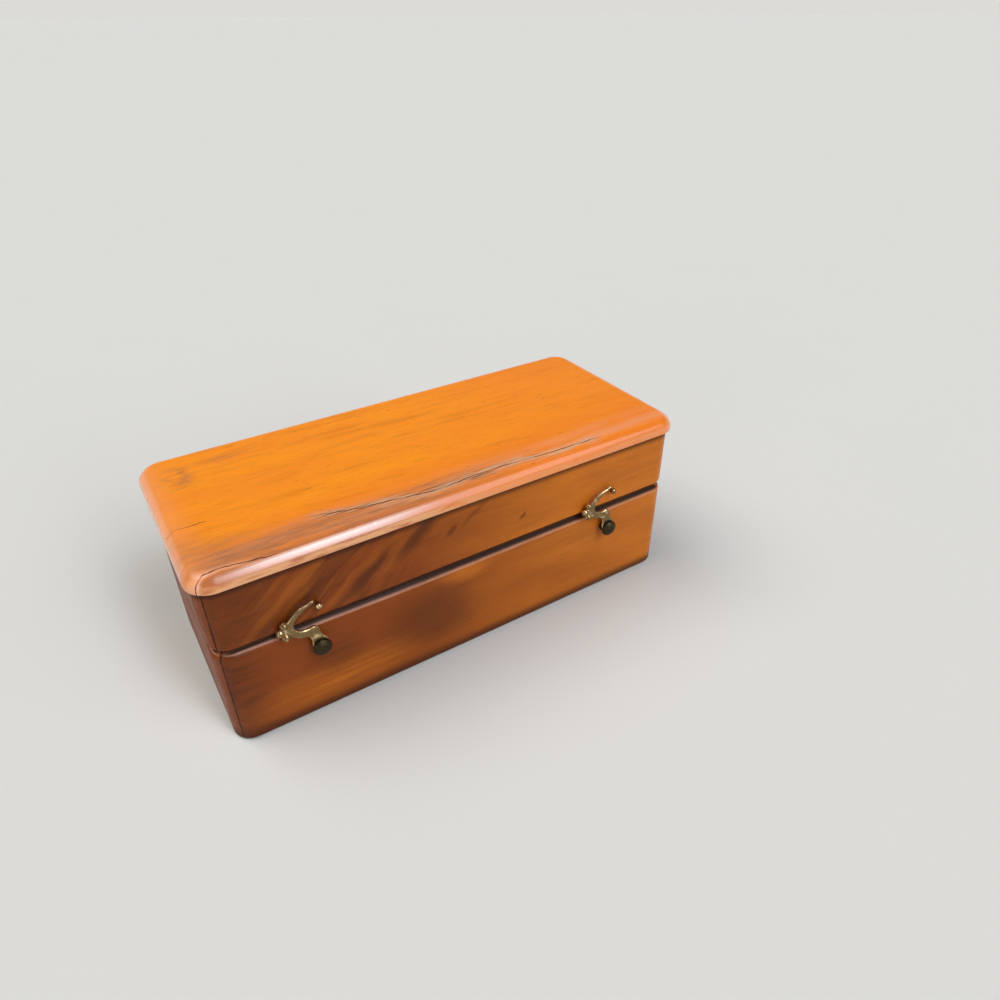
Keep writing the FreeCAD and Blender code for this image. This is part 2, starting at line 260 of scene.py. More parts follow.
def patch(tree, place, middle, reach, turn=0, strength=1):
    """A soft oval mask round a place, by its three half-widths in millimetres, turned about Y."""
    centred = add(tree, "Mapping", {
        "Vector": place, "Location": middle, "Rotation": (0, math.radians(turn), 0), "Scale": reach},
        vector_type="TEXTURE")
    distance = add(tree, "VectorMath", {0: centred}, output=1, operation="LENGTH")
    return add(tree, "MapRange", {0: distance, 1: 1, 2: 0.2, 4: strength}, **SOFT)


def overlap(tree, *masks):
    """Where several masks lie over each other, as one mask."""
    shown = masks[0]
    for mask in masks[1:]:
        shown = add(tree, "Math", {0: shown, 1: mask}, operation="MULTIPLY", use_clamp=True)
    return shown


def stained(tree, colour, coats):
    """Lays coats of (mask, colour) over a colour, in order, and gives back what shows."""
    for mask, coat in coats:
        under, over = (c if isinstance(c, bpy.types.NodeSocket) else (*c, 1) for c in (colour, coat))
        colour = add(tree, "Mix", {0: mask, 6: under, 7: over}, output=2, data_type="RGBA")
    return colour


def in_millimetres(tree):
    """Places on the object, in millimetres."""
    return add(tree, "VectorMath", {0: add(tree, "TexCoord", output=3), "Scale": 1 / MM}, operation="SCALE")


def wood_frame(tree, grain_turn, log):
    """Places on the object, and the same with a board's grain along X and its own place in the log.

    grain_turn is in degrees about Z."""
    place = in_millimetres(tree)
    turn = (0, 0, math.radians(grain_turn))
    return place, add(tree, "Mapping", {"Vector": place, "Rotation": turn, "Location": log})


def broad_cloud(tree, place, share):
    """Very broad and soft unevenness, by the share of a millimetre that counts along each axis."""
    shrunk = add(tree, "VectorMath", {0: place, 1: share}, operation="MULTIPLY")
    return add(tree, "TexNoise", {"Vector": shrunk, "Scale": 1, "Detail": 3})


def wandering_band(tree, way, cloud, wander, none, whole, strength=1):
    """A mask that grows softly from none to whole along a way, and whose edge wanders with a cloud."""
    shifted = add(tree, "Math", {0: cloud, 1: wander, 2: way}, operation="MULTIPLY_ADD")
    return add(tree, "MapRange", {0: shifted, 1: none, 2: whole, 4: strength}, **SOFT)


def relief(tree, surface, height, strength, depth):
    """Gives a surface its fine ups and downs, so many millimetres deep."""
    bump = add(tree, "Bump", {"Strength": strength, "Distance": depth * MM, "Height": height})
    tree.links.new(bump, surface.inputs["Normal"])


def wood_tone(tree, along, base, shade, deep, contrast, clouds=0.6):
    """Mahogany's colour: broad clouds, ribbon streaks and short dark pores, all along the grain.

    Real pores are about 0.2 mm wide. They are drawn about twice as wide here, since they wouldn't show
    otherwise."""
    pores = streaks(tree, along, (5, 0.45, 0.45), 0.60, 0.74, detail=1, seed=5.3)
    colour = stained(tree, base, (
        (streaks(tree, along, (60, 15, 15), 0.36, 0.66, clouds, 3, 3.1), shade),
        (streaks(tree, along, (38, 3.4, 3.4), 0.48, 0.76, 0.34 * contrast, 4, 7.7), deep),
        (streaks(tree, along, (13, 1, 1), 0.52, 0.80, 0.30 * contrast, 3, 1.9), deep),
        (overlap(tree, pores, 0.36 * contrast), deep)))
    return colour, pores


def polish(tree, surface, along, pores, smooth, worn, dirt, dents=None):
    """The polish follows the wood: sunk pores, the cloth's long strokes, and dents; dull where dirt lies.

    smooth and worn are the roughness between which it wanders."""
    strokes = streaks(tree, along, (45, 9, 9), 0.2, 0.8, 1, 3, 9.4)
    height = add(tree, "Math", {0: pores, 1: -0.14, 2: strokes}, operation="MULTIPLY_ADD")
    if dents is not None:
        height = add(tree, "Math", {0: dents, 1: -2, 2: height}, operation="MULTIPLY_ADD")
    relief(tree, surface, height, 0.30, 0.20)
    wear = streaks(tree, along, (22, 6, 6), 0.3, 0.7, 1, 4, 2.6)
    rough = add(tree, "MapRange", {0: wear, 3: smooth, 4: worn})
    rough = add(tree, "Math", {0: dirt, 1: 0.45, 2: rough}, operation="MULTIPLY_ADD")
    tree.links.new(rough, surface.inputs["Roughness"])


def split_line(tree, place, path, width):
    """A drying split that wanders along X past places given from the case's front left corner.

    Gives its mask, how far in Y each place is from it, and where along its length each place is."""
    wander = 1.6
    path = [(LEFT_END + x, FRONT_FACE + y) for x, y in path]
    start, end = path[0][0], path[-1][0]
    lowest = min(y for _, y in path)
    span = max(y for _, y in path) - lowest
    parts = add(tree, "SeparateXYZ", {0: place})
    share = add(tree, "MapRange", {0: parts, 1: start, 2: end})
    curve = add(tree, "FloatCurve", {0: 1, 1: share},
                points=[((x - start) / (end - start), (y - lowest) / span) for x, y in path])
    line = add(tree, "Math", {0: curve, 1: span, 2: lowest - wander / 2}, operation="MULTIPLY_ADD")
    wobble = add(tree, "TexNoise", {"Vector": place, "Scale": 0.22, "Detail": 4})
    line = add(tree, "Math", {0: wobble, 1: wander, 2: line}, operation="MULTIPLY_ADD")
    beside = add(tree, "Math", {0: parts.node.outputs[1], 1: line}, operation="SUBTRACT")
    away = add(tree, "Math", {0: beside}, operation="ABSOLUTE")
    thick = streaks(tree, place, (9, 9, 9), 0.3, 0.7, width, 2, 4.7)
    thick = add(tree, "Math", {0: thick, 1: width * 0.35}, operation="ADD")
    inside = add(tree, "Math", {0: thick, 1: away}, operation="DIVIDE")
    inside = add(tree, "MapRange", {0: inside, 1: 0.7, 2: 1.7}, **SOFT)
    middle = add(tree, "Math", {0: share, 1: 0.5}, operation="SUBTRACT")
    middle = add(tree, "Math", {0: middle}, operation="ABSOLUTE")
    ends = add(tree, "MapRange", {0: middle, 1: 0.5, 2: 0.44})
    return overlap(tree, inside, ends), beside, ends


def joint_shadow(tree, place, beyond):
    """The dark, uneven line of the mitres at the case's corners, about a millimetre wide.

    beyond is how far past its end and its face each place is, in X and Y."""
    gap = add(tree, "Math", {0: beyond, 1: beyond.node.outputs[1]}, operation="SUBTRACT")
    gap = add(tree, "Math", {0: gap}, operation="ABSOLUTE")
    ragged = add(tree, "TexNoise", {"Vector": place, "Scale": 0.5, "Detail": 4, "Roughness": 0.7})
    width = add(tree, "MapRange", {0: ragged, 1: 0.3, 2: 0.7, 3: 0.22, 4: 1.1})
    share = add(tree, "Math", {0: gap, 1: width}, operation="DIVIDE")
    return add(tree, "MapRange", {0: share, 1: 1, 2: 0.3, 4: 0.9})


def top_board_material(looks):
    """French-polished mahogany, bleached by sun to a honey orange.

    Many thin coats of shellac, worked on with a pad, give a deep gloss. Dusting has dulled it on the flat and
    hands keep it bright on the round edge; it is worn brown and grey where a drying split broke it along the
    front. Low on the front's round, pale worn wood is painted, which also stands for a painted reflection of
    bright light there. x, y, z and here are measured from the case's front left corner and from the top's face."""
    top = looks.top
    material, tree, surface = new_material(
        "french_polished_mahogany_top", IOR=1.5, Specular_IOR_Level=0.2, Coat_Roughness=0.14, Coat_IOR=1.7)
    place, along = wood_frame(tree, 1.5, (40, 7, 0))
    here = add(tree, "VectorMath", {0: place, 1: (LEFT_END, FRONT_FACE, TOP_FACE)}, operation="SUBTRACT")
    x = add(tree, "SeparateXYZ", {0: here})
    y, z = x.node.outputs[1], x.node.outputs[2]
    colour, pores = wood_tone(tree, along, top.light, top.warm, top.deep, 0.9, 0.3)

    # The wood's broad tones, and the brown that hands and dusting gave the front left corner
    cloud = broad_cloud(tree, place, (0.016, 0.045, 0.045))
    haze = overlap(
        tree, add(tree, "MapRange", {0: y, 1: 19, 2: 7}, **SOFT),
        streaks(tree, place, (34, 5, 5), 0.25, 0.70, 0.5, 4, 11.5),
        add(tree, "MapRange", {0: y, 1: 1, 2: 4.5}, **SOFT))
    front = wandering_band(tree, y, cloud, 30, 47, 22, 0.75)
    right = wandering_band(tree, x, cloud, 60, 117.5, 257.5, 0.45)
    end = wandering_band(tree, x, cloud, -5, 9, -0.5, 0.62)
    corner = add(tree, "Math", {0: x, 1: 0.36, 2: y}, operation="MULTIPLY_ADD")
    handled = overlap(tree, wandering_band(tree, corner, cloud, 12, 40, 27),
                      streaks(tree, place, (26, 4, 4), 0.24, 0.66, 0.5, 5, 13.7))
    dashes = streaks(tree, along, (7, 1.4, 1.4), 0.66, 0.78, 0.55, 2, 12)

    # The splits, the worn band along them, and the dirt and frayed wood beside the long one
    long_split, beside, along_split = split_line(tree, place, (
        (43, 15.6), (52, 13.3), (61, 10.6), (72, 8.8), (80, 7.6), (95, 5.5), (112, 6.1),
        (130, 6), (146, 4.6), (176, 3.6)), 0.24)
    corner_split, corner_beside, _ = split_line(tree, place, (
        (-2, -0.6), (3, 1.6), (8, 2.8), (19.6, 1.7), (31, 0.9)), 0.22)
    short_split, _, _ = split_line(tree, place, ((-1.5, 32), (5, 32.9), (14, 32.3)), 0.16)
    splits = add(tree, "Math", {0: long_split, 1: short_split}, operation="MAXIMUM")
    splits = add(tree, "Math", {0: splits, 1: corner_split}, operation="MAXIMUM")
    torn = overlap(tree, streaks(tree, place, (34, 2.6, 2.6), 0.28, 0.56, 1, 5, 8.8),
                   streaks(tree, place, (9, 0.7, 0.7), 0.28, 0.64, 0.9, 4, 5))
    torn = add(tree, "Math", {0: torn, 1: 0.36}, operation="MAXIMUM")
    worn = overlap(
        tree, torn, add(tree, "MapRange", {0: y, 1: -0.8, 2: 1.2}),
        *(add(tree, "MapRange", {0: way, 1: none, 2: whole}, **SOFT)
          for way, none, whole in ((y, 15, 9.5), (x, 150, 90), (x, -2, 9))))
    near = add(tree, "Math", {0: beside}, operation="ABSOLUTE")
    near = overlap(tree, add(tree, "MapRange", {0: near, 1: 4.2, 2: 0.3}, **SOFT), along_split)
    dirt = overlap(tree, near, streaks(tree, place, (17, 0.9, 0.9), 0.50, 0.62, 0.6, 4, 3.3))
    fray = overlap(tree, near, streaks(tree, place, (12, 0.8, 0.8), 0.44, 0.58, 0.85, 4, 6.1))

    # Smaller wear: stains near the back, the corner's raised lip, fine scratches and a curved nick
    marks = [(overlap(tree, patch(tree, here, middle, reach),
                      streaks(tree, place, size, 0.40, 0.66, strength, 3, seed)), top.worn)
             for middle, reach, size, strength, seed in (
                 ((12, 69, 0), (9, 14, 9), (7, 2.6, 2.6), 0.6, 8.8),
                 ((33, 75, 0), (14, 4, 9), (12, 1.6, 1.6), 0.5, 5.8))]
    lip = overlap(tree, add(tree, "MapRange", {0: corner_beside, 1: -1.5, 2: -0.5}),
                  patch(tree, here, (6, 0.4, -2.5), (22, 5.5, 9), strength=0.9))
    aslant = add(tree, "Mapping", {"Vector": place, "Rotation": (0, 0, math.radians(24))})
    scratch = streaks(tree, aslant, (30, 0.5, 0.5), 0.70, 0.74, 0.35, 1, 14)
    nick_inside = patch(tree, here, (63.3, -0.2, -1.6), (2.7, 2.9, 2.9), strength=2.2)
    nick = patch(tree, here, (64, -0.2, -1.6), (2.4, 2.4, 2.4))
    nick = add(tree, "Math", {0: nick, 1: nick_inside}, operation="SUBTRACT", use_clamp=True)

    # The front's full round: red-brown above, and low down worn through to pale wood, which also paints a
    # reflection of bright light there
    rounding = overlap(
        tree, add(tree, "MapRange", {0: y, 1: 3.6, 2: -1, 4: 0.8}, **SOFT),
        add(tree, "MapRange", {0: x, 1: 135, 2: 65, 3: 0.25}, **SOFT),
        streaks(tree, along, (40, 3, 3), 0, 0.6, 1, 4, 17))
    worn_and_highlit = overlap(
        tree, add(tree, "MapRange", {0: x, 1: 128, 2: 72, 3: 0.3, 4: 0.9}, **SOFT),
        streaks(tree, place, (13, 4, 2), 0.30, 0.52, 1, 4, 21),
        add(tree, "MapRange", {0: z, 1: -2.9, 2: -4.3}, **SOFT),
        add(tree, "MapRange", {0: y, 1: 7, 2: 2.5}))
    colour = stained(tree, colour, (
        (front, top.warm), (right, top.warm), (dashes, top.deep), (haze, top.haze), (end, top.edge),
        (rounding, top.round_edge), (handled, top.worn), (worn, top.worn), (nick, top.scuffed), *marks,
        (dirt, top.crack), (fray, top.scuffed), (worn_and_highlit, top.bare), (lip, top.haze), (scratch, top.edge),
        (splits, top.crack)))
    tree.links.new(colour, surface.inputs["Base Color"])

    dents = add(tree, "Math", {0: fray, 1: 0.5, 2: splits}, operation="MULTIPLY_ADD")
    flat = add(tree, "MapRange", {0: z, 1: -0.7, 2: -0.05, 4: 0.4})
    polish(tree, surface, along, pores, 0.24, 0.34, flat, dents)
    gone = patch(tree, here, (0.5, 4, -2), (32, 9, 9), strength=0.8)
    gone = add(tree, "Math", {0: gone, 1: splits}, operation="MAXIMUM")
    coat = overlap(tree, add(tree, "MapRange", {0: flat, 2: 0.4, 3: 1, 4: 0.2}),
                   add(tree, "MapRange", {0: gone, 3: 1, 4: 0}))
    tree.links.new(coat, surface.inputs["Coat Weight"])
    return material


def side_board_material(looks, name, grain_turn, log, contrast, bleached_and_lit, figure=(), sweep=None, dull=0):
    """French-polished mahogany of a side board, darker than the top for want of sun, and darker also as painted
    shade of the upright faces.

    The polish is older and thinner here, so that it shines more softly. Along X the wood goes from its warm
    to its light tone between the two places in sunned: sun-bleached wood, and also painted light that grows
    towards the side the light falls from. figure holds dark and light places in the front's grain: (how far
    from the left end, height, half-widths, turn, strength, colour name). sweep is where grain leaves the board
    aslant, up to its turn in the same order. dull is added to the roughness."""
    boards = looks.boards
    material, tree, surface = new_material(
        name, IOR=1.5, Specular_IOR_Level=0.12, Coat_Weight=0.05, Coat_Roughness=0.2, Coat_IOR=1.5)
    place, along = wood_frame(tree, grain_turn, log)
    parts = add(tree, "SeparateXYZ", {0: place})
    high = parts.node.outputs[2]

    # How far past the ends and faces each place is, where the outer skin begins, and the wood's broad tones,
    # whose sweep from warm to light along X is sun-bleaching and painted light at once
    beyond = add(tree, "VectorMath", {0: place}, operation="ABSOLUTE")
    beyond = add(tree, "VectorMath", {0: beyond, 1: (RIGHT_END, BACK_FACE, 0)}, operation="SUBTRACT")
    beyond = add(tree, "SeparateXYZ", {0: beyond})
    outer = add(tree, "Math", {0: beyond, 1: beyond.node.outputs[1]}, operation="MAXIMUM")
    outer = add(tree, "MapRange", {0: outer, 1: -3.4, 2: -1.8})
    toned = wandering_band(tree, parts, broad_cloud(tree, along, (0.014, 0.05, 0.05)), 50,
                           bleached_and_lit[0] + 25, bleached_and_lit[1] + 25)
    colour = stained(tree, boards.warm, ((toned, boards.light),))
    colour, pores = wood_tone(tree, along, colour, boards.warm, boards.deep, contrast, 0.25)

    # The figure, which wavers, and is broken up by streaks where it lies along the grain
    drift = add(tree, "TexNoise", {"Vector": place, "Scale": 0.05, "Detail": 3}, output=1)
    drift = add(tree, "VectorMath", {0: drift, 1: (0.5, 0.5, 0.5)}, operation="SUBTRACT")
    wavy = add(tree, "VectorMath", {0: drift, 1: (7, 7, 7), 2: place}, operation="MULTIPLY_ADD")
    coats = []
    if sweep:
        from_left, height, reach, turn = sweep
        aslant = add(tree, "Mapping", {"Vector": wavy, "Rotation": (0, math.radians(-turn), 0)})
        for size, least, most, strength, tone, seed in (
                ((60, 9, 6.5), 0.40, 0.72, 0.45, boards.deep, 2),
                ((60, 12, 6.5), 0.44, 0.74, 0.22, boards.light, 8),
                ((34, 9, 1.8), 0.46, 0.74, 0.40, boards.deep, 5)):
            swept = patch(tree, wavy, (LEFT_END + from_left, FRONT_FACE, height), reach, turn, 1.4)
            stripes = streaks(tree, aslant, size, least, most, strength, 2, seed)
            coats.append((overlap(tree, swept, stripes), tone))
    broken = streaks(tree, along, (34, 2.6, 2.6), 0.30, 0.70, 1, 5, 15)
    broken = add(tree, "MapRange", {0: broken, 3: 0.55, 4: 1.4})
    for from_left, height, reach, turn, strength, tone in figure:
        shown = patch(tree, wavy, (LEFT_END + from_left, FRONT_FACE, height), reach, turn, strength)
        coats.append((shown if turn else overlap(tree, shown, broken), getattr(boards, tone)))

    # The seam's two edges: a pale worn arris on the base that is also a painted highlight, and dark wax and
    # dirt in the seam, which is also painted shade, narrowing towards the left end
    opened = add(tree, "MapRange", {0: parts, 1: LEFT_END, 2: LEFT_END + 75, 3: 0.42})
    # A painted shadow under the top board's overhang, in the dark joint colour
    overhang_shadow = add(
        tree, "MapRange", {0: high, 1: LID_SIDE_TOP - 4.6, 2: LID_SIDE_TOP - 1.3, 4: 0.72}, **SOFT)
    # dirt gathers the painted overhang shadow and the seam's dirt and painted shade, which dull the polish
    dirt = overhang_shadow
    for level, facing, worn_and_highlit in ((BASE_RIM, -1, 0.7), (LID_RIM, 1, 0)):
        inward = add(tree, "Math", {0: high, 1: facing, 2: -facing * level}, operation="MULTIPLY_ADD")
        this_side = overlap(tree, outer, add(tree, "MapRange", {0: inward, 1: -0.36, 2: -0.34}))
        inward = add(tree, "Math", {0: inward, 1: opened}, operation="DIVIDE")
        # The base's arris: pale worn polish, and a painted highlight along its round
        if worn_and_highlit:
            worn_highlit_arris = overlap(tree, add(tree, "MapRange", {0: inward, 1: 2.8, 2: 2.2, 4: worn_and_highlit}), this_side,
                          streaks(tree, place, (9, 9, 2), 0.1, 0.66, 0.85, 5, 1.3))
            coats.append((worn_highlit_arris, boards.worn_and_highlit))
        # Wax and dirt settled in the seam, with painted shade: darkest at the seam, fading away from it
        settled = add(tree, "MapRange", {0: inward, 1: 2, 2: 0.9, 4: 0.97}, **SOFT)
        settled = overlap(tree, settled, this_side)
        coats.append((settled, boards.grime_and_shade))
        dirt = add(tree, "Math", {0: dirt, 1: settled}, operation="MAXIMUM")
    # Darker towards the foot, in the figure's dark tone
    low_down = add(tree, "MapRange", {0: high, 1: 7.5, 2: 2.2, 4: 0.88}, **SOFT)
    coats += [(overhang_shadow, boards.grime_and_shade), (low_down, boards.deep),
              (joint_shadow(tree, place, beyond), boards.grime_and_shade)]
    tree.links.new(stained(tree, colour, coats), surface.inputs["Base Color"])
    polish(tree, surface, along, pores, 0.26 + dull, 0.40 + dull, dirt)
    return material


def fitting_material(looks, name, grain_turn, log):
    """Bare mahogany, sawn, planed and waxed thin, of the seats and blocks inside: dry, with open pores."""
    boards = looks.boards
    material, tree, surface = new_material(name, IOR=1.5, Specular_IOR_Level=0.3)
    _, along = wood_frame(tree, grain_turn, log)
    colour, pores = wood_tone(tree, along, boards.inside_light, boards.inside_light, boards.inside_deep, 1.3)
    tree.links.new(colour, surface.inputs["Base Color"])
    relief(tree, surface, pores, 0.5, 0.15)
    tree.links.new(add(tree, "MapRange", {0: pores, 3: 0.55, 4: 0.75}), surface.inputs["Roughness"])
    return material


def brass_material(looks, name, tarnish_share, roughness, bright_share, filed_and_highlit=None):
    """Brass left to age in the hand: a dull olive skin, brown-black in patches, worn bright on the crests.

    filed is how far back from the front, in millimetres, the bright edges begin and are whole. They are pale
    as brass worked with a file is, and they are also a painted highlight along the hook's rounded edges."""
    brass = looks.brass
    material, tree, surface = new_material(name, Metallic=1)
    place = in_millimetres(tree)
    coats = []
    if filed_and_highlit:
        back = add(tree, "SeparateXYZ", {0: place}, output=1)
        # Pale edges: brass worked with a file, and a painted highlight along the hook's rounded edges
        coats.append((add(tree, "MapRange", {0: back, 1: filed_and_highlit[0], 2: filed_and_highlit[1], 4: 0.85}), brass.bright))
    for grain, least, most, strength, detail, seed, tone in (
            (3, 0.75 - bright_share, 0.9 - bright_share, 0.9, 4, 6, brass.bright),
            (2.4, 0.72 - tarnish_share, 0.9 - tarnish_share, 0.9, 5, 1, brass.tarnish),
            (0.5, 0.60, 0.76, 0.3, 2, 4, brass.tarnish)):
        coats.append((streaks(tree, place, (grain,) * 3, least, most, strength, detail, seed), tone))
    tree.links.new(stained(tree, brass.aged, coats), surface.inputs["Base Color"])
    specks = streaks(tree, place, (0.7, 0.7, 0.7), 0.3, 0.75, 1, 3, 2)
    rough = add(tree, "MapRange", {0: specks, 3: roughness - 0.06, 4: roughness + 0.12})
    tree.links.new(rough, surface.inputs["Roughness"])
    relief(tree, surface, specks, 0.25, 0.05)
    return material


def dress(material, *names):
    """Gives CAD nodes their finish."""
    for name in names:
        slots = NODES[name].data.materials
        slots.clear()
        slots.append(material)


def piece_from(form, name, body, material, stands_for=(), crease=35.0, inner=None):
    """Makes a bmesh into a piece that rides on a body, smooth but for edges sharper than the crease.

    inner is a second material, for faces with material index 1."""
    mesh = bpy.data.meshes.new(name)
    for face in form.faces:
        face.smooth = True
    form.to_mesh(mesh)
    form.free()
    mesh.set_sharp_from_angle(angle=math.radians(crease))
    mesh.materials.append(material)
    if inner:
        mesh.materials.append(inner)
    piece = bpy.data.objects.new(name, mesh)
    bpy.context.scene.collection.objects.link(piece)
    even = piece.modifiers.new("even_shading", "WEIGHTED_NORMAL")
    even.keep_sharp = True
    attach(piece, body)
    if stands_for:
        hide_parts(*stands_for)
    return piece


def body_of(node):
    """The body that a CAD node rides on."""
    for body, names in frame["record"]["behaviour"]["bodies"].items():
        if node in names:
            return body
    raise ValueError("no body holds " + node)


def rounded(form, edges, reach, segments):
    """Rounds edges of a form by so many metres."""
    bmesh.ops.bevel(form, geom=edges, offset=reach, offset_type="OFFSET", affect="EDGES", segments=segments,
                    profile=0.5, material=-1, clamp_overlap=True)


def merged_copy(node):
    """A CAD node's form with its triangles joined into whole faces."""
    form = bmesh.new()
    form.from_mesh(NODES[node].data)
    bmesh.ops.remove_doubles(form, verts=form.verts, dist=2 * SAME_POINT * MM)
    bmesh.ops.dissolve_limit(form, angle_limit=math.radians(0.5), verts=form.verts, edges=form.edges)
    return form


def outer_arrises(form):
    """The edges of the eased arrises on the case's outside: those at the seam, and those at the foot."""
    slope, give, reach, flat = 45.0, 7.0, 5.0, 0.05
    seam, foot = [], []
    for edge in form.edges:
        if not (edge.is_manifold and edge.is_convex):
            continue
        level, other = (vert.co.z / MM for vert in edge.verts)
        if abs(math.degrees(edge.calc_face_angle()) - slope) < give and abs(level - other) < flat:
            if BASE_RIM - reach < level < LID_RIM + reach:
                seam.append(edge)
            elif level < reach:
                foot.append(edge)
    return seam, foot


class CASE_OT_make_top(bpy.types.Operator):
    """Makes the lid's top board with its full round edge, and polishes it"""

    bl_idname = "case.make_top"
    bl_label = "Top board"

    def execute(self, context):
        looks = context.scene.case_looks
        low, high = (Vector(corner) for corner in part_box("lid_top_board"))
        size = high - low
        overhang = (size.x - (RIGHT_END - LEFT_END) * MM) / 2
        form = bmesh.new()
        place = Matrix.Translation((low + high) / 2) @ Matrix.Diagonal((*size, 1.0))
        bmesh.ops.create_cube(form, size=1.0, matrix=place)
        upright = [e for e in form.edges if abs(e.verts[0].co.z - e.verts[1].co.z) > size.z / 2]
        rounded(form, upright, CORNER_RADIUS * MM + overhang, 14)
        upper = [e for e in form.edges if min(v.co.z for v in e.verts) > high.z - size.z / 4]
        rounded(form, upper, looks.top.edge_radius, 14)
        lower = [e for e in form.edges if max(v.co.z for v in e.verts) < low.z + looks.top.lower_edge / 4]
        rounded(form, lower, looks.top.lower_edge, 4)
        under = [f for f in form.faces if f.normal.z < -0.9 and f.calc_area() > size.x * size.y / 2]
        bmesh.ops.inset_region(form, faces=under, thickness=POLISHED_MARGIN * MM, use_even_offset=True)
        for f in under:
            f.material_index = 1
        bare = fitting_material(looks, "waxed_mahogany_top_inside", 0.0, (60.0, 30.0, 0.0))
        piece_from(form, "polished_top_board", "lid", top_board_material(looks),
                   ("lid_top_board",), inner=bare)
        return {"FINISHED"}


class CASE_OT_make_sides(bpy.types.Operator):
    """Rounds the arrises of the eight side boards and polishes each from its own plank"""

    bl_idname = "case.make_sides"
    bl_label = "Side boards"

    def execute(self, context):
        looks = context.scene.case_looks
        slant = -40
        # Each board goes from warm to light along X: sun-bleaching, and painted light from one side
        lid_front = side_board_material(
            looks, "french_polished_mahogany_lid_front", 0, log=(0, 0, 11), contrast=0.6,
            bleached_and_lit=(LEFT_END + 70, LEFT_END + 160), figure=(
                (4, 62, (30, 12, 26), 0, 0.42, "deep"),
                (83, 69, (19, 9, 4.6), slant, 0.75, "deep"),
                (61.5, 60.5, (21, 9, 3.2), slant, 0.72, "deep"),
                (69, 62.5, (20, 9, 2.8), slant, 0.1, "amber"),
                (97, 65, (6, 6, 2.2), slant, 0.6, "deep"),
                (108, 70, (12, 6, 2), slant, 0.35, "deep"),
                (131.6, 60.1, (3, 6, 1.5), slant, 0.7, "deep"),
            ), sweep=(46, 62, (66, 12, 44), slant))
        base_front = side_board_material(
            looks, "french_polished_mahogany_base_front", 0, log=(90, 0, 33), contrast=0.6,
            bleached_and_lit=(LEFT_END + 45, LEFT_END + 215), figure=(
                (2, 28, (22, 12, 46), 0, 0.55, "deep"),
                (102, 41.5, (17, 9, 6), 0, 0.5, "light"),
                (158, 38, (40, 9, 16), 0, 0.26, "amber"),
                (42, 13, (48, 9, 15), 0, 0.45, "light"),
                (87, 25, (30, 12, 22), 15, 0.58, "deep"),
                (44, 25, (17, 9, 10), 0, 0.4, "deep"),
            ))
        back = side_board_material(
            looks, "french_polished_mahogany_back", 0, log=(210, 50, 5), contrast=0.8,
            bleached_and_lit=(-120, 160))
        ends = side_board_material(
            looks, "french_polished_mahogany_ends", 90, log=(30, 0, 70), contrast=0.8,
            bleached_and_lit=(-60, 230), dull=0.12)
        finishes = {"lid_front_board": lid_front, "base_front_board": base_front,
                    "lid_back_board": back, "base_back_board": back}
        long_inside = fitting_material(looks, "waxed_mahogany_long_inside", 0, (20, 90, 0))
        end_inside = fitting_material(looks, "waxed_mahogany_end_inside", 90, (75, 9, 4))
        insides = {"front": ((0, 1, 0), long_inside), "back": ((0, -1, 0), long_inside),
                   "left": ((1, 0, 0), end_inside), "right": ((-1, 0, 0), end_inside)}
        for part in ("base", "lid"):
            for side, (inward, bare) in insides.items():
                node = f"{part}_{side}_board"
                form = merged_copy(node)
                seam, foot = outer_arrises(form)
                rounded(form, seam, looks.boards.seam_rounding, 5)
                rounded(form, foot, looks.boards.foot_rounding, 4)
                for f in form.faces:
                    if f.normal.dot(Vector(inward)) > 0.95:
                        f.material_index = 1
                piece_from(form, f"polished_{node}", part, finishes.get(node, ends), (node,),
                           inner=bare)
        return {"FINISHED"}


class CASE_OT_finish_inside(bpy.types.Operator):
    """Gives the bottom board and the fittings their bare wood"""

    bl_idname = "case.finish_inside"
    bl_label = "Inside"

    def execute(self, context):
        looks = context.scene.case_looks
        dress(fitting_material(looks, "waxed_mahogany_bottom", 0.0, (0.0, 120.0, 0.0)), "bottom_board")
        dress(fitting_material(looks, "waxed_mahogany_fittings", 90.0, (15.0, 60.0, 0.0)), *FITTINGS)
        return {"FINISHED"}


def turned(profile, foot):
    """Spins half a section of (radius, height) in millimetres about the line straight out of the front."""
    form = bmesh.new()
    verts = [form.verts.new((radius * MM, 0.0, height * MM)) for radius, height in profile]
    edges = [form.edges.new(pair) for pair in zip(verts, verts[1:])]
    bmesh.ops.spin(form, geom=verts + edges, axis=(0.0, 0.0, 1.0), cent=(0.0, 0.0, 0.0), angle=math.tau,
                   steps=20, use_merge=True, use_duplicate=False)
    bmesh.ops.remove_doubles(form, verts=form.verts, dist=SAME_POINT * MM)
    bmesh.ops.transform(form, verts=form.verts,
                        matrix=Matrix.Translation(foot) @ Matrix.Rotation(math.radians(90.0), 4, "X"))
    bmesh.ops.recalc_face_normals(form, faces=form.faces)
    return form


def smoothed(piece):
    """Lets a subdivision surface finish a turned piece."""
    surface = piece.modifiers.new("cast_surface", "SUBSURF")
    surface.levels = surface.render_levels = 2
    piece.modifiers.move(len(piece.modifiers) - 1, 0)


